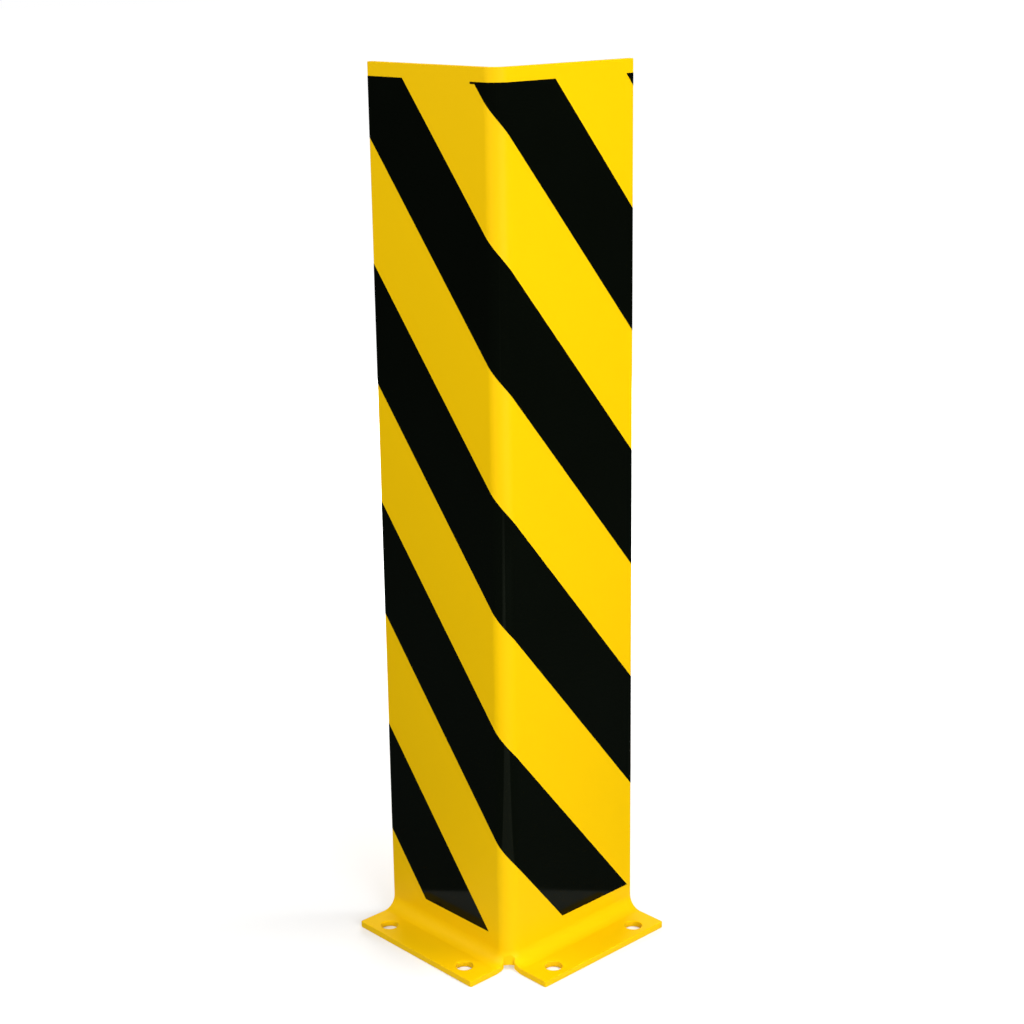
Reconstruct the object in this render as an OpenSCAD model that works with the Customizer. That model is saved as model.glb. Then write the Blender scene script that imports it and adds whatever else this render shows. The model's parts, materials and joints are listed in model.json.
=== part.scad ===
// Corner impact guard: one folded steel sheet, striped with six pieces of black film.
// A vertical bend joins two legs at a right angle. At the floor each leg folds outward
// into a foot with two bolt holes. The corner line faces +X and -Y. The origin is on
// the floor, under the middle of the guard's box.
// Shapes are drawn with the two outer faces meeting on the Z axis, then moved there.

/* [Legs] */
// Height of the guard
guard_h = 800; // [700:5:900]
// Width of each leg, from the sharp corner line to its free edge
leg_w = 160; // [140:1:220]
// Thickness of the steel sheet
sheet_t = 6; // [3:0.5:8]
// Inside radius of the vertical bend
corner_bend_r = 9; // [5:0.5:14]

/* [Feet] */
// How far each foot reaches out from its leg's outer face
foot_reach = 42; // [38:1:60]
// Radius of the hollow fold between a leg and its foot
foot_bend_r = 13; // [8:0.5:14]
// Distance from the sharp corner line to the inner end of each foot
foot_setback = 5; // [4.5:0.5:9]
// Radius of the feet's rounded corners
foot_corner_r = 2; // [0.5:0.5:6]
// Width of the notch between the feet, where it ends in front of the vertical bend
notch_w = 9.4; // [6:0.2:12]
// How far the folds run out past the vertical bend in the notch
notch_lip = 1; // [0.5:0.1:1.8]

/* [Floor bolts] */
// Diameter of the bolt holes
hole_d = 16; // [8:0.5:20]
// Distance from a hole's centre to the nearer end of its foot
hole_end_inset = 25; // [14:1:40]
// Distance from a hole's centre to the front edge of its foot
hole_edge_inset = 15; // [12:0.5:20]

/* [Film stripes] */
// Thickness of the film
film_t = 0.2; // [0.1:0.05:0.5]
// Height of a stripe, measured straight up
stripe_h = 107; // [60:1:150]
// Distance from one stripe to the next, measured straight up
stripe_pitch = 216; // [180:1:230]
// Fall of a stripe for each millimetre to the right
stripe_fall = 1.235; // [0.9:0.005:1.5]
// Height at which the lowest stripe's upper edge would cross the corner
stripe_start = 2.5; // [-20:0.5:20]
// Height of the small offcut in the top right corner
offcut_h = 10.5; // [4:0.5:30]
// Length of the thin tail on the tip of the highest full stripe
tail_len = 4; // [1:0.5:8]
// Height of the tail
tail_h = 1.8; // [1:0.1:4]
// Bare sheet above the film
film_top_gap = 12; // [4:1:30]
// Bare sheet between the floor and the film
film_floor_gap = 31; // [26:1:50]
// Bare sheet between the film and the legs' free edges
film_side_gap = 0.5; // [0.25:0.25:5]

/* [Hidden] */
$fn = 96;
STRIPES = 5;
BEND_STEPS = 8;                          // corners of a stripe's edge on the bend
BRIGHT_YELLOW = [0.98, 0.80, 0.02];
GLOSS_BLACK = [0.04, 0.045, 0.045];
over = 1;                                // overshoot of cutting shapes

corner_r = corner_bend_r + sheet_t;      // outside radius of the vertical bend
fold_r = foot_bend_r + sheet_t;          // outside radius of the feet's folds
leg_flat = leg_w - corner_r;             // flat width of a leg
hole_far = leg_w - hole_end_inset;
hole_near = foot_setback + hole_end_inset;
hole_out = foot_reach - hole_edge_inset;

film_low = film_floor_gap;
film_high = guard_h - film_top_gap;
half_bend = corner_r * PI / 4;           // half the vertical bend, measured round its outside
film_half = half_bend + leg_flat - film_side_gap;

// Sheet

// Adds the mirror image of a left-hand shape on the right-hand leg
module both_legs() {
    children();
    mirror([1, 1, 0]) children();
}

// Quarter of a ring round the origin, between +X and -Y
module quarter_ring(outside_r, inside_r)
    intersection() {
        difference() {
            circle(outside_r);
            circle(inside_r);
        }
        translate([0, -outside_r]) square(outside_r);
    }

// Plan of all that lies behind a face round the corner, at some depth behind the outer faces
module plan_behind(depth, leg) {
    translate([-leg, depth]) square([leg - corner_r, leg - depth]);
    translate([-leg, corner_r]) square([leg - depth, leg - corner_r]);
    translate([-corner_r, corner_r]) circle(corner_r - depth);
}

// Plan of a layer round the corner, between two depths behind the outer faces
module layer_plan(depth_out, depth_in, leg)
    difference() {
        plan_behind(depth_out, leg);
        plan_behind(depth_in, leg + over);
    }

// Section of a foot and its fold: x runs out from the leg's outer face and y runs up
module foot_section(reach) {
    translate([foot_bend_r, 0]) square([reach - foot_bend_r, sheet_t]);
    translate([foot_bend_r, fold_r]) mirror([1, 0]) quarter_ring(fold_r, foot_bend_r);
}

// Moves a shape from the vertical bend's centre, with x running out square to the bend's middle
module from_bend() translate([-corner_r, corner_r]) rotate(-45) children();

// Plan of the notch: its end is flat, then it opens between the inner ends of the feet
module notch_plan() {
    wide = 3 * (foot_reach + corner_r);
    intersection() {
        union() {
            from_bend() translate([0, -notch_w / 2]) square([wide, notch_w]);
            translate([-foot_setback, foot_setback - wide]) square(wide);
        }
        from_bend() translate([corner_r + notch_lip, -wide]) square(2 * wide);
    }
}

// Plan of what the notch between the feet leaves of the corner
module corner_plan() difference() {
    translate([-corner_r, -foot_reach]) square(corner_r + foot_reach);
    notch_plan();
}

module legs()
    translate([0, 0, fold_r]) linear_extrude(guard_h - fold_r) layer_plan(0, sheet_t, leg_w);

// The feet's section runs straight along each leg, and round the vertical bend between them
module feet() {
    both_legs() translate([-corner_r, 0, 0]) rotate([90, 0, -90])
        linear_extrude(leg_flat) foot_section(foot_reach);
    intersection() {
        translate([-corner_r, corner_r, 0]) rotate([0, 0, -90]) rotate_extrude(angle = 90)
            translate([corner_r, 0]) foot_section(foot_reach + corner_r);
        linear_extrude(fold_r) corner_plan();
    }
}

// What a rounded corner takes off a sharp one at the origin
module corner_scrap()
    translate([0, 0, -over]) linear_extrude(sheet_t + 2 * over) difference() {
        translate([-over, -over]) square(foot_corner_r + over);
        translate([foot_corner_r, foot_corner_r]) circle(foot_corner_r);
    }

module foot_cuts() {
    for (x = [-hole_far, -hole_near])
        translate([x, -hole_out, -over]) cylinder(d = hole_d, h = sheet_t + 2 * over);
    translate([-leg_w, -foot_reach, 0]) corner_scrap();
    translate([-foot_setback, -foot_reach, 0]) rotate(90) corner_scrap();
}

module folded_sheet() {
    color(BRIGHT_YELLOW) on_floor() difference() {
        union() {
            legs();
            feet();
        }
        both_legs() foot_cuts();
    }
}

// Film

// A width u round the film, measured from the bend's middle, as seen square to the corner
function across(u) =
    let (bent = min(abs(u), half_bend))
    sign(u) * (corner_r * sin(bent / half_bend * 45) + (abs(u) - bent) * cos(45));

// One long edge of a stripe, which crosses the bend's middle at height z
function stripe_edge(z) =
    let (ends = film_half + over,
         step = 2 * half_bend / BEND_STEPS,
         bent = [for (i = [0.5 : BEND_STEPS]) i * step - half_bend])
    [for (u = concat([-ends], bent, [ends])) [across(u), z - stripe_fall * u]];

function reversed(points) = [for (i = [len(points) - 1 : -1 : 0]) points[i]];

module stripe_outline(low, high) polygon(concat(stripe_edge(low), reversed(stripe_edge(high))));

// Cuts the film round the corner to an outline seen square to the corner
module film_piece() {
    color(GLOSS_BLACK) on_floor() intersection() {
        translate([0, 0, film_low])
            linear_extrude(film_high - film_low) layer_plan(-film_t, 0, leg_w - film_side_gap);
        rotate([90, 0, 45]) linear_extrude(3 * leg_w, center = true) children();
    }
}

function stripe_top(n) = stripe_start + (n - 1) * stripe_pitch;

module film_stripe(n) film_piece() stripe_outline(stripe_top(n) - stripe_h, stripe_top(n));

module film_stripe_1() film_stripe(1);
module film_stripe_2() film_stripe(2);
module film_stripe_3() film_stripe(3);
module film_stripe_4() film_stripe(4);

// The highest full stripe is cut off by the film's upper edge, and its tip has a thin tail
module film_stripe_5() {
    low = stripe_top(STRIPES) - stripe_h;
    tip = (low - film_high) / stripe_fall;
    film_piece() {
        stripe_outline(low, stripe_top(STRIPES));
        polygon([[across(tip - tail_len), film_high - tail_h],
                 [across(tip + tail_h / stripe_fall), film_high - tail_h],
                 [across(tip + tail_h / stripe_fall), film_high + over],
                 [across(tip - tail_len), film_high + over]]);
    }
}

module film_offcut() {
    low = film_high - offcut_h + stripe_fall * film_half;
    film_piece() stripe_outline(low, low + stripe_h);
}

// Moves a shape from the corner's own axes to the guard's origin
module on_floor() translate([(leg_w - foot_reach) / 2, (foot_reach - leg_w) / 2, 0]) children();

folded_sheet();
film_stripe_1();
film_stripe_2();
film_stripe_3();
film_stripe_4();
film_stripe_5();
film_offcut();
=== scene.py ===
"""Corner impact guard: a powder-coated folded sheet with black film stripes, standing on a pale floor.

Lengths are in metres. A piece is first drawn with the vertical bend opened flat: x runs round the
guard, measured on its outer faces from the middle of the bend, y runs inward from the outer faces
and z runs up. Geometry Nodes then bend it round the corner.
"""
import json
import math

import bmesh
import bpy
from mathutils import Matrix, Vector


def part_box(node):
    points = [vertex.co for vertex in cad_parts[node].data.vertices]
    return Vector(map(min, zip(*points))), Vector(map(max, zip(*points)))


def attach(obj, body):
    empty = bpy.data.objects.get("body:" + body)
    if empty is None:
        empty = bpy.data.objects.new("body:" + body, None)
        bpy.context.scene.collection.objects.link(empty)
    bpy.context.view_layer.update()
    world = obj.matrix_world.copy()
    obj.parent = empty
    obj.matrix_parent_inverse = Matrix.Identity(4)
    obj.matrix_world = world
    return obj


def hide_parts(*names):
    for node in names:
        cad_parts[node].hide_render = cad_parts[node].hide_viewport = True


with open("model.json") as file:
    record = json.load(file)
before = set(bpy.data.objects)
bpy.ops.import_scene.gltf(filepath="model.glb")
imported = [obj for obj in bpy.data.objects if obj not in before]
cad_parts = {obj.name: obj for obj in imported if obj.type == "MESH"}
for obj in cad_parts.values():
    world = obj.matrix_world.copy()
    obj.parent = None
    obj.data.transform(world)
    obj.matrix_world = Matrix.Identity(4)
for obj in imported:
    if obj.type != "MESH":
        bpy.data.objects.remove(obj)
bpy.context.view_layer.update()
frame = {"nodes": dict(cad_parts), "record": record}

MM = 0.001
WELD = 0.001 * MM             # vertices closer together than this become one
EDGE_ANGLE = math.radians(40)           # faces that meet at a larger angle have an edge between them

# Folded sheet
SHEET_T = 6 * MM
CORNER_R = 15 * MM            # outside radius of the vertical bend
FOOT_BEND_R = 13 * MM         # radius of the hollow fold above a foot
FOOT_REACH = 42 * MM
FOOT_SETBACK = 5 * MM         # from the sharp corner line to the inner end of a foot
FOOT_CORNER_R = 2 * MM
NOTCH_W = 9.4 * MM            # width of the notch's flat end
NOTCH_LIP = 1 * MM            # from the vertical bend to the notch's flat end
EDGE_ROUND = 0.7 * MM         # rounding that the coat gives to cut edges
EDGE_STEPS = 3                # steps of that rounding
RIM = 3 * MM                  # width of the ring of faces round a bolt hole
HOLE_STEPS = 48               # steps round a bolt hole
FOLD_STEPS = 4                # steps of the fold above the notch's end
BESIDE_STEPS = 2              # steps of the fold beside the notch's end
LOW_STEPS = 6                 # steps of the fold from there down to the foot
BEND_STEPS = 8                # steps of half the vertical bend, up to the notch
NOTCH_STEPS = 3               # steps of half the notch's end
CORNER_STEPS = 5              # steps of a foot's rounded corner
NOTCH_ROW = FOLD_STEPS + 1    # row of the sheet's vertices at the notch's end, from the top edge down
NOTCH_COLUMN = BEND_STEPS + 1           # column of its vertices at the notch's side, from the free edge

# Film
FILM_T = 0.2 * MM
STRIPE_H = 107 * MM           # measured straight up, as the pitch is
STRIPE_PITCH = 216 * MM
STRIPE_FALL = 1.235           # fall of a stripe for each metre to the right
STRIPE_START = 2.5 * MM       # where the lowest stripe's upper edge would cross the bend's middle
OFFCUT_H = 10.5 * MM
TAIL_LEN = 4 * MM
TAIL_H = 1.8 * MM

# Camera, in the photograph's square frame
CAMERA_PLACE = (1.182, -1.1024, 0.8896)
CAMERA_AZIMUTH = 46.775
CAMERA_PITCH = 15.632
CAMERA_ROLL = 0.784
FOCAL_PIXELS = 1900
FRAME_PIXELS = 1024
SHIFT_DOWN = 0.03

# Sizes that the frame gives
sheet_low, sheet_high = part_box("folded_sheet")
GUARD_H = sheet_high.z
CORNER = Vector((sheet_high.x - FOOT_REACH, sheet_low.y + FOOT_REACH, 0))
LEG_W = CORNER.x - sheet_low.x
HALF_BEND = CORNER_R * math.pi / 4
LEG_END = LEG_W - CORNER_R + HALF_BEND
FOLD_Z = FOOT_BEND_R + SHEET_T
film_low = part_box("film_stripe_1")[0]
film_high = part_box("film_offcut")[1]
FILM_BOTTOM = film_low.z
FILM_TOP = film_high.z
FILM_END = LEG_END - (film_low.x - sheet_low.x)


# Drawing with the bend opened flat

def opened(x, y):
    """Turns a place in the left leg's plan, from the sharp corner line, into one with the bend opened."""
    if x <= -CORNER_R:
        return x + CORNER_R - HALF_BEND, y
    angle = math.atan2(x + CORNER_R, CORNER_R - y)
    return angle * CORNER_R - HALF_BEND, CORNER_R - math.hypot(x + CORNER_R, CORNER_R - y)


def notch_side(out):
    """Where the notch's side stands with the bend opened, at a distance out from the outer faces."""
    reach = CORNER_R + max(out, 0)
    angle = min(math.pi / 4 - math.asin(NOTCH_W / 2 / reach), math.asin((CORNER_R - FOOT_SETBACK) / reach))
    return angle * CORNER_R - HALF_BEND


def notch_end(x):
    """How far out the notch's flat end stands, at a place x with the bend opened."""
    return (CORNER_R + NOTCH_LIP) / math.cos(x / CORNER_R) - CORNER_R


# How far out the notch's end meets its side, and its side meets the foot's inner end
END_OUT = math.hypot(CORNER_R + NOTCH_LIP, NOTCH_W / 2) - CORNER_R
SIDE_OUT = math.hypot(CORNER_R - FOOT_SETBACK, CORNER_R - FOOT_SETBACK + NOTCH_W / math.sqrt(2)) - CORNER_R


def fold_rows(depth):
    """Distances out of the fold's rows at a depth behind the front, from the wall to the foot."""
    radius = FOOT_BEND_R + depth
    stops = [0] + [math.acos((FOOT_BEND_R - out) / radius) for out in (END_OUT, SIDE_OUT)] + [math.pi / 2]
    angles = [0.0]
    for low, high, steps in zip(stops, stops[1:], (FOLD_STEPS, BESIDE_STEPS, LOW_STEPS)):
        angles += [low + (high - low) * step / steps for step in range(1, steps + 1)]
    return [FOOT_BEND_R - radius * math.cos(a) for a in angles]


def fold_height(out, depth):
    """Height of the fold's surface at a distance out."""
    radius = FOOT_BEND_R + depth
    return FOLD_Z - math.sqrt(max(radius ** 2 - (FOOT_BEND_R - out) ** 2, 0))


def surface_rows(mesh, depth):
    """Vertices of the wall and fold at a depth behind the front, from the top edge down."""
    outs = fold_rows(depth)
    outs.insert(0, outs[0])    # the top edge, straight above the fold's first row
    rows = []
    for k, out in enumerate(outs):
        side = notch_side(out)
        places = [-LEG_END]
        places += [-HALF_BEND + (side + HALF_BEND) * i / BEND_STEPS for i in range(BEND_STEPS + 1)]
        if k <= NOTCH_ROW:
            places += [side * (1 - i / NOTCH_STEPS) for i in range(1, NOTCH_STEPS + 1)]
        row = []
        for i, x in enumerate(places):
            here = notch_end(x) if k == NOTCH_ROW and i > NOTCH_COLUMN else out
            z = GUARD_H if k == 0 else fold_height(here, depth)
            row.append(mesh.verts.new((x, -here, z)))
        rows.append(row)
    return rows


def foot_outline():
    """Plan of a foot's outer border, from its inner end to the leg's free edge, corners rounded."""
    points = []
    near = -FOOT_REACH + FOOT_CORNER_R
    for centre_x, start in ((-FOOT_SETBACK - FOOT_CORNER_R, 0.0), (-LEG_W + FOOT_CORNER_R, 90.0)):
        for step in range(CORNER_STEPS + 1):
            angle = -math.radians(start + 90 * step / CORNER_STEPS)
            points.append((centre_x + FOOT_CORNER_R * math.cos(angle),
                           near + FOOT_CORNER_R * math.sin(angle)))
    return points


def bolt_holes():
    """Plan places of the left foot's two holes from the corner line, and their radius."""
    mount = next(m for m in frame["record"]["mounts"] if m["name"] == "left_foot_holes")
    half = mount["dims"]["spacing_x_mm"] * MM / 2
    place = Vector(mount["pos_m"]) - CORNER
    return [(place.x - half, place.y), (place.x + half, place.y)], mount["dims"]["hole_r_mm"] * MM


def add_face(mesh, verts):
    """Adds a face, or nothing where all but two of its corners meet."""
    kept = [v for i, v in enumerate(verts) if v is not verts[i - 1]]
    if len(kept) > 2:
        mesh.faces.new(kept)


def add_grid(mesh, rows):
    """Fills the rows of vertices with four-sided faces, as far as the shorter row of each pair goes."""
    for above, below in zip(rows, rows[1:]):
        for i in range(min(len(above), len(below)) - 1):
            add_face(mesh, (above[i], above[i + 1], below[i + 1], below[i]))


def add_foot_plate(mesh, fold_row, z):
    """Adds the flat of a foot with its holes. Returns its border and the holes' edges, for the rims."""
    def vert(x, y):
        along, inward = opened(x, y)
        return mesh.verts.new((along, inward, z))

    centres, radius = bolt_holes()
    border = [vert(x, y) for x, y in foot_outline()]
    end_far = vert(-LEG_W, centres[0][1])
    end_near = vert(-FOOT_SETBACK, centres[0][1])
    rims, upper, lower = [], [], []
    for x, y in centres:
        rings = []
        for ring_r in (radius, radius + RIM):
            angles = [math.pi - 2 * math.pi * i / HOLE_STEPS for i in range(HOLE_STEPS)]
            rings.append([vert(x + ring_r * math.cos(a), y + ring_r * math.sin(a)) for a in angles])
        inner, outer = rings
        for i in range(HOLE_STEPS):
            add_face(mesh, (inner[i - 1], inner[i], outer[i], outer[i - 1]))
        rims.append(inner)
        half = HOLE_STEPS // 2
        upper += outer[:half + 1]
        lower += [outer[0]] + outer[:half - 1:-1]
    add_face(mesh, [end_far] + upper + [end_near] + fold_row[::-1])
    add_face(mesh, [end_far] + lower + [end_near] + border)
    return [end_near] + border + [end_far], rims


def left_half(mesh):
    """Adds the left half of the sheet, closed everywhere but along the middle of the bend."""
    front, back = surface_rows(mesh, 0), surface_rows(mesh, SHEET_T)
    add_grid(mesh, front)
    add_grid(mesh, back)
    # the notch's flat end and its side
    add_grid(mesh, [rows[NOTCH_ROW][NOTCH_COLUMN:] for rows in (front, back)])
    add_grid(mesh, [[row[NOTCH_COLUMN] for row in rows[NOTCH_ROW:]] for rows in (front, back)])
    # top edge and free end
    add_grid(mesh, (front[0], back[0]))
    add_grid(mesh, [[row[0] for row in rows] for rows in (front, back)])
    # foot
    top_border, top_rims = add_foot_plate(mesh, front[-1], SHEET_T)
    low_border, low_rims = add_foot_plate(mesh, back[-1], 0.0)
    top_edge = [front[-1][NOTCH_COLUMN]] + top_border + [front[-1][0]]
    low_edge = [back[-1][NOTCH_COLUMN]] + low_border + [back[-1][0]]
    add_grid(mesh, (top_edge, low_edge))
    for top, low in zip(top_rims, low_rims):
        add_grid(mesh, (top + top[:1], low + low[:1]))


def opened_sheet():
    """The whole sheet with its feet folded and its vertical bend still open."""
    mesh = bmesh.new()
    left_half(mesh)
    bmesh.ops.remove_doubles(mesh, verts=mesh.verts, dist=WELD)
    half = mesh.copy()
    bmesh.ops.transform(half, matrix=Matrix.Scale(-1, 4, (1, 0, 0)), verts=half.verts)
    mirrored = bpy.data.meshes.new("mirrored_half")
    half.to_mesh(mirrored)
    half.free()
    mesh.from_mesh(mirrored)
    bpy.data.meshes.remove(mirrored)
    bmesh.ops.remove_doubles(mesh, verts=mesh.verts, dist=WELD)
    bmesh.ops.recalc_face_normals(mesh, faces=mesh.faces)
    return mesh


def stripe_film(top, low_edge, tail=False):
    """A flat piece of film that faces outward, between two slanted edges.

    The edges are given by their heights at the bend's middle.
    """
    film_tip = (low_edge - FILM_TOP) / STRIPE_FALL
    tail_end = film_tip + TAIL_H / STRIPE_FALL

    def limits(x):
        high = min(top - STRIPE_FALL * x, FILM_TOP)
        low = max(low_edge - STRIPE_FALL * x, FILM_BOTTOM)
        if tail and x < tail_end:
            low = FILM_TOP - TAIL_H
        return low, high

    first = film_tip - (TAIL_LEN if tail else 0)
    last = (top - FILM_BOTTOM) / STRIPE_FALL
    # where the piece ends, an edge of it turns or the sheet bends
    places = [-FILM_END, FILM_END, first, last, (top - FILM_TOP) / STRIPE_FALL,
              (low_edge - FILM_BOTTOM) / STRIPE_FALL]
    places += [HALF_BEND * step / BEND_STEPS for step in range(-BEND_STEPS, BEND_STEPS + 1)]
    if tail:
        places.append(tail_end)
    left, right = max(first, -FILM_END), min(last, FILM_END)
    mesh = bmesh.new()
    highs, lows = [], []
    for x in sorted(p for p in places if left <= p <= right):
        low, high = limits(x)
        highs.append(mesh.verts.new((x, 0, high)))
        lows.append(mesh.verts.new((x, 0, low)) if high - low > WELD else highs[-1])
    add_grid(mesh, (lows, highs))
    return mesh


# Nodes

def set_input(tree, socket, source):
    """Links a node's input to another node's output, or gives it a value."""
    if isinstance(source, bpy.types.NodeSocket):
        tree.links.new(source, socket)
    else:
        socket.default_value = source


def add_node(tree, kind, inputs=(), **settings):
    """Adds a node with its settings and inputs, and returns its outputs."""
    node = tree.nodes.new(kind)
    for name, value in settings.items():
        setattr(node, name, value)
    for name, source in dict(inputs).items():
        set_input(tree, node.inputs[name], source)
    return node.outputs


# Geometry Nodes

class ShapeTree:
    """A Geometry Nodes tree with named inputs, which ends in Realize Instances and Set Material."""

    def __init__(self, name, inputs):
        self.group = bpy.data.node_groups.new(name, "GeometryNodeTree")
        sockets = self.group.interface
        sockets.new_socket("Geometry", in_out="INPUT", socket_type="NodeSocketGeometry")
        sockets.new_socket("Geometry", in_out="OUTPUT", socket_type="NodeSocketGeometry")
        for title, kind in inputs:
            sockets.new_socket(title, in_out="INPUT", socket_type="NodeSocket" + kind)
        self.given = add_node(self.group, "NodeGroupInput")
        self.result = self.group.nodes.new("NodeGroupOutput").inputs[0]

    def node(self, kind, inputs=(), **settings):
        return add_node(self.group, kind, inputs, **settings)

    def math(self, operation, *values):
        return self.node("ShaderNodeMath", enumerate(values), operation=operation)[0]

    def finish(self, geometry):
        real = self.node("GeometryNodeRealizeInstances", {0: geometry})[0]
        coated = self.node("GeometryNodeSetMaterial", {0: real, "Material": self.given["Material"]})[0]
        self.group.links.new(coated, self.result)
        return self.group


def bend_geometry(tree, geometry):
    """Bends what was drawn with the corner open round the guard's vertical bend."""
    radius = tree.given["Bend Radius"]
    place = tree.node("ShaderNodeSeparateXYZ", {0: tree.node("GeometryNodeInputPosition")[0]})
    half = tree.math("MULTIPLY", radius, math.pi / 4)
    # how much of x lies on the bend, and how much beyond it on a flat leg
    on_bend = tree.math("MINIMUM", tree.math("MAXIMUM", place["X"], tree.math("MULTIPLY", half, -1.0)), half)
    beyond = tree.math("SUBTRACT", place["X"], on_bend)
    # the way out from the bend's axis is (across, -ahead) and the way along the sheet is (ahead, across)
    angle = tree.math("DIVIDE", tree.math("ADD", on_bend, half), radius)
    across = tree.math("SINE", angle)
    ahead = tree.math("COSINE", angle)
    reach = tree.math("SUBTRACT", radius, place["Y"])
    x = tree.math("ADD", tree.math("MULTIPLY", reach, across), tree.math("MULTIPLY", beyond, ahead))
    y = tree.math("SUBTRACT", tree.math("MULTIPLY", beyond, across), tree.math("MULTIPLY", reach, ahead))
    bent = tree.node("ShaderNodeCombineXYZ", {"X": tree.math("SUBTRACT", x, radius),
                                              "Y": tree.math("ADD", y, radius), "Z": place["Z"]})[0]
    placed = tree.node("ShaderNodeVectorMath", {0: bent, 1: tree.given["Corner"]}, operation="ADD")[0]
    return tree.node("GeometryNodeSetPosition", {0: geometry, "Position": placed})[0]


BEND_INPUTS = [("Bend Radius", "Float"), ("Corner", "Vector"), ("Material", "Material")]


def sheet_tree():
    """Bends the opened sheet."""
    tree = ShapeTree("bend_sheet", BEND_INPUTS)
    return tree.finish(bend_geometry(tree, tree.given[0]))


def film_tree():
    """Thickens a flat piece of film outward, then bends it."""
    tree = ShapeTree("wrap_film", [("Film Thickness", "Float")] + BEND_INPUTS)
    flat = tree.given[0]
    outward = tree.node("ShaderNodeVectorMath", {0: (0, -1, 0), "Scale": tree.given["Film Thickness"]},
                        operation="SCALE")[0]
    thick = tree.node("GeometryNodeExtrudeMesh", {0: flat, "Offset": outward, "Individual": False})[0]
    base = tree.node("GeometryNodeFlipFaces", {0: flat})[0]
    joined = tree.group.nodes.new("GeometryNodeJoinGeometry")
    for part in (thick, base):
        tree.group.links.new(part, joined.inputs[0])
    closed = tree.node("GeometryNodeMergeByDistance", {0: joined.outputs[0], "Distance": WELD})[0]
    return tree.finish(bend_geometry(tree, closed))


def made_by(tree, name, blank, material):
    """Runs a blank through a tree and returns an object that holds the result as a plain mesh."""
    mesh = bpy.data.meshes.new(name)
    blank.to_mesh(mesh)
    blank.free()
    piece = bpy.data.objects.new(name, mesh)
    bpy.context.collection.objects.link(piece)
    modifier = piece.modifiers.new("Shape", "NODES")
    modifier.node_group = tree
    values = {"Bend Radius": CORNER_R, "Corner": CORNER, "Film Thickness": FILM_T, "Material": material}
    for item in tree.interface.items_tree:
        if item.in_out == "INPUT" and item.name in values:
            modifier[item.identifier] = values[item.name]
    bake(piece)
    return piece


def bake(piece):
    """Replaces a piece's mesh by what its modifiers make of it."""
    graph = bpy.context.evaluated_depsgraph_get()
    final = bpy.data.meshes.new_from_object(piece.evaluated_get(graph), preserve_all_data_layers=True,
                                            depsgraph=graph)
    piece.modifiers.clear()
    spent, piece.data = piece.data, final
    bpy.data.meshes.remove(spent)


# Finishing

def round_edges(piece):
    """Rounds the sheet's cut edges, then shades it smooth with its flats kept flat."""
    mesh = bmesh.new()
    mesh.from_mesh(piece.data)
    cut = [e for e in mesh.edges if e.calc_face_angle_signed(0) > EDGE_ANGLE]
    bmesh.ops.bevel(mesh, geom=cut, offset=EDGE_ROUND, offset_type="OFFSET", segments=EDGE_STEPS,
                    profile=0.5, affect="EDGES", clamp_overlap=False)
    for face in mesh.faces:
        face.smooth = True
    for edge in mesh.edges:
        edge.smooth = edge.calc_face_angle(0) < EDGE_ANGLE
    mesh.to_mesh(piece.data)
    mesh.free()
    flats = piece.modifiers.new("Flats", "WEIGHTED_NORMAL")
    flats.keep_sharp = True
    flats.weight = 100
    bake(piece)


# Materials

# Each finish drifts between two tones, or between two values of roughness
COAT_TONES = (0.85, 0.517, 0.001, 1), (0.87, 0.533, 0.001, 1)
FILM_TONES = (0.0014, 0.002, 0.0011, 1), (0.002, 0.0028, 0.0017, 1)
FILM_ROUGHNESS = 0.06, 0.1


def new_material(name):
    """Starts a material, and returns it with its nodes and the place on the piece that patterns follow."""
    material = bpy.data.materials.new(name)
    material.use_nodes = True
    tree = material.node_tree
    return material, tree, add_node(tree, "ShaderNodeTexCoord")["Object"]


def set_shader(tree, inputs):
    shader = tree.nodes["Principled BSDF"]
    for name, source in inputs.items():
        set_input(tree, shader.inputs[name], source)


def noise(tree, place, scale, detail=2):
    return add_node(tree, "ShaderNodeTexNoise", {"Vector": place, "Scale": scale, "Detail": detail})["Fac"]


def mixed(tree, factor, colours):
    sources = {"Factor": factor, "A": colours[0], "B": colours[1]}
    return add_node(tree, "ShaderNodeMix", sources, data_type="RGBA")["Result"]


def map_range(tree, value, limits, results=(0, 1)):
    """Goes from one result to the other while a value goes from one limit to the other."""
    ends = dict(zip(("From Min", "From Max", "To Min", "To Max"), limits + results))
    return add_node(tree, "ShaderNodeMapRange", {"Value": value, **ends})["Result"]


def bump(tree, height, strength, depth):
    return add_node(tree, "ShaderNodeBump", {"Height": height, "Strength": strength, "Distance": depth})[0]


def powder_coat():
    """Satin safety yellow with a fine grain and a faint orange peel."""
    material, tree, place = new_material("safety_yellow_powder_coat")
    drift = noise(tree, place, 9, detail=3)
    peel = noise(tree, place, 420)
    grain = noise(tree, place, 1500)
    height = add_node(tree, "ShaderNodeMath", {0: grain, 1: 0.5, 2: peel}, operation="MULTIPLY_ADD")[0]
    set_shader(tree, {"Base Color": mixed(tree, drift, COAT_TONES), "Roughness": 0.42,
                      "Specular IOR Level": 0.1, "Normal": bump(tree, height, 0.5, 0.06 * MM)})
    return material


def black_film():
    """Smooth glossy black vinyl, a little duller where hands smoothed it down."""
    material, tree, place = new_material("gloss_black_film")
    rubbed = noise(tree, place, 14, detail=4)
    peel = noise(tree, place, 260)
    set_shader(tree, {"Base Color": mixed(tree, rubbed, FILM_TONES),
                      "Roughness": map_range(tree, rubbed, (0, 1), FILM_ROUGHNESS),
                      "Specular IOR Level": 0.1, "Specular Tint": (0.85, 1, 0.7, 1),
                      "Normal": bump(tree, peel, 0.3, 0.02 * MM)})
    return material


# Pieces

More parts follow.
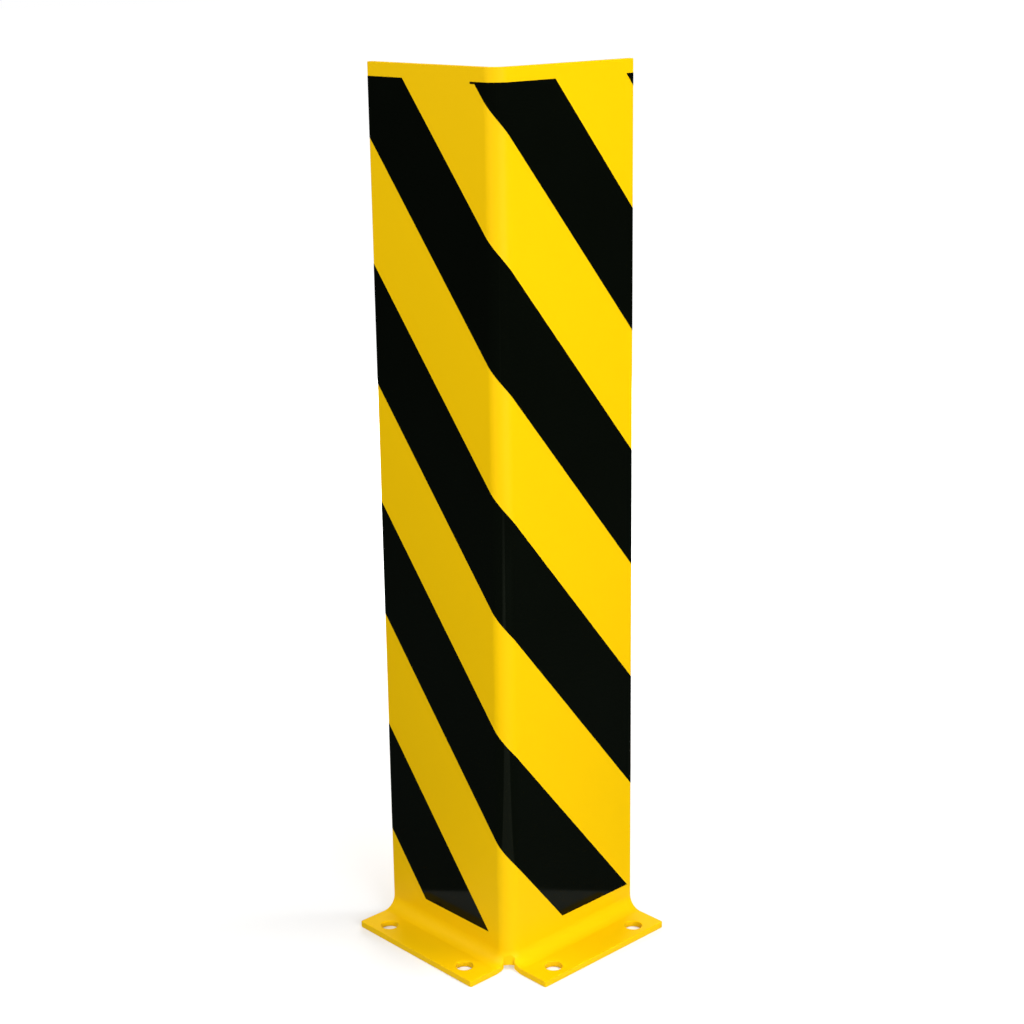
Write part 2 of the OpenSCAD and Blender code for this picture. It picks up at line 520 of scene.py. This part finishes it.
def add_sheet(material):
    sheet = made_by(sheet_tree(), "guard_sheet", opened_sheet(), material)
    round_edges(sheet)
    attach(sheet, "root")
    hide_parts("folded_sheet")


def add_film(tree, node, blank, material):
    film = made_by(tree, "black_" + node, blank, material)
    film.data.shade_smooth()
    film.data.set_sharp_from_angle(angle=EDGE_ANGLE)
    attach(film, "root")
    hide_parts(node)


def add_films(material):
    tree = film_tree()
    stripes = sum(1 for node in frame["nodes"] if node.startswith("film_stripe"))
    for number in range(1, stripes + 1):
        top = STRIPE_START + (number - 1) * STRIPE_PITCH
        blank = stripe_film(top, top - STRIPE_H, tail=number == stripes)
        add_film(tree, f"film_stripe_{number}", blank, material)
    low = FILM_TOP - OFFCUT_H + STRIPE_FALL * FILM_END
    add_film(tree, "film_offcut", stripe_film(low + STRIPE_H, low), material)


# Studio

WHITE = (1, 1, 1, 1)
FLOOR_SIDE = 60
FLOOR_TONE = (0.8, 0.8, 0.8, 1)         # to the camera
PAPER_TONE = (0.5, 0.5, 0.5, 1)         # to reflections and bounced light
GROUND_TONE = (0.06, 0.07, 0.07, 1)     # the same, beside the paper
PAPER_W = 0.31                # width of the paper that the guard stands on
SOFT_EDGE = 2 * MM            # how far the paper's edge is blurred
WHITE_LIMITS = 0.4, 1.2       # distances from the guard between which the floor turns pure white
WHITE_ADDED = 0.16, 0.94      # white that the camera sees there on top of the lit floor
AMBIENT = 0.12                # strength of the even light from all round
MIDDLE = (0, 0, 0.4)          # of the guard


def floor_material():
    """Pale to the camera, with the guard's faint shadow, and pure white further off.

    Reflections and bounced light meet a strip of paper on a dark ground. The strip is laid along
    the camera's line of sight.
    """
    material, tree, place = new_material("pale_floor")
    azimuth = math.radians(CAMERA_AZIMUTH)
    sideways = (math.cos(azimuth), math.sin(azimuth), 0)
    beside = add_node(tree, "ShaderNodeVectorMath", {0: place, 1: sideways},
                      operation="DOT_PRODUCT")["Value"]
    off_middle = add_node(tree, "ShaderNodeMath", {0: beside}, operation="ABSOLUTE")[0]
    off_paper = map_range(tree, off_middle, ((PAPER_W - SOFT_EDGE) / 2, (PAPER_W + SOFT_EDGE) / 2))
    laid = mixed(tree, off_paper, (PAPER_TONE, GROUND_TONE))
    to_camera = add_node(tree, "ShaderNodeLightPath")["Is Camera Ray"]
    away = add_node(tree, "ShaderNodeVectorMath", {0: place}, operation="LENGTH")["Value"]
    white = map_range(tree, away, WHITE_LIMITS, WHITE_ADDED)
    shown = add_node(tree, "ShaderNodeMath", {0: to_camera, 1: white}, operation="MULTIPLY")[0]
    set_shader(tree, {"Base Color": mixed(tree, to_camera, (laid, FLOOR_TONE)), "Roughness": 0.9,
                      "Specular IOR Level": 0.1, "Emission Color": WHITE, "Emission Strength": shown})
    return material


def add_floor():
    bpy.ops.mesh.primitive_plane_add(size=FLOOR_SIDE)
    floor = bpy.context.object
    floor.name = "studio_floor"
    floor.data.materials.append(floor_material())


def add_light(name, place, power, side=0.8, target=MIDDLE, mirrored=False):
    """Adds a square softbox that faces a target. Only a mirrored one shows in gloss."""
    lamp = bpy.data.lights.new(name, "AREA")
    lamp.size = side
    lamp.energy = power
    holder = bpy.data.objects.new(name, lamp)
    holder.location = place
    holder.rotation_euler = (Vector(target) - Vector(place)).to_track_quat("-Z", "Y").to_euler()
    holder.visible_camera = False
    holder.visible_glossy = mirrored
    bpy.context.collection.objects.link(holder)


def add_lights():
    add_light("key_softbox", (1.25, -0.3, 0.5), power=14.9)
    add_light("front_softbox", (1.3, -1.3, 1.0), power=4)
    add_light("low_softbox", (0.25, -1.3, 0.5), power=2.1)
    add_light("high_softbox", (0.7, 0.5, 2.0), power=22.2)
    add_light("fill_softbox", (-0.5, -1.3, 1.6), power=19, side=1.2, target=(0, 0, 0.5), mirrored=True)
    add_light("back_softbox", (-1.6, 1.6, 0.8), power=46, side=1.5)


def set_world():
    """White to the camera, and a low even light on the guard."""
    world = bpy.data.worlds.new("studio")
    world.use_nodes = True
    bpy.context.scene.world = world
    tree = world.node_tree
    ambient = tree.nodes["Background"]
    ambient.inputs["Color"].default_value = WHITE
    ambient.inputs["Strength"].default_value = AMBIENT
    backdrop = add_node(tree, "ShaderNodeBackground", {"Color": WHITE})[0]
    to_camera = add_node(tree, "ShaderNodeLightPath")["Is Camera Ray"]
    shown = add_node(tree, "ShaderNodeMixShader", {0: to_camera, 1: ambient.outputs[0], 2: backdrop})[0]
    tree.links.new(shown, tree.nodes["World Output"].inputs["Surface"])


def set_camera():
    camera = bpy.data.cameras.new("camera")
    camera.sensor_width = 36
    camera.lens = camera.sensor_width * FOCAL_PIXELS / FRAME_PIXELS
    camera.shift_y = -SHIFT_DOWN
    holder = bpy.data.objects.new("camera", camera)
    turn = Matrix.Rotation(math.radians(CAMERA_AZIMUTH), 4, "Z")
    tilt = Matrix.Rotation(math.radians(90 - CAMERA_PITCH), 4, "X")
    roll = Matrix.Rotation(math.radians(-CAMERA_ROLL), 4, "Z")
    holder.matrix_world = Matrix.Translation(CAMERA_PLACE) @ turn @ tilt @ roll
    bpy.context.collection.objects.link(holder)
    bpy.context.scene.camera = holder


add_sheet(powder_coat())
add_films(black_film())
add_floor()
add_lights()
set_world()
set_camera()
bpy.context.scene.view_settings.view_transform = "Standard"
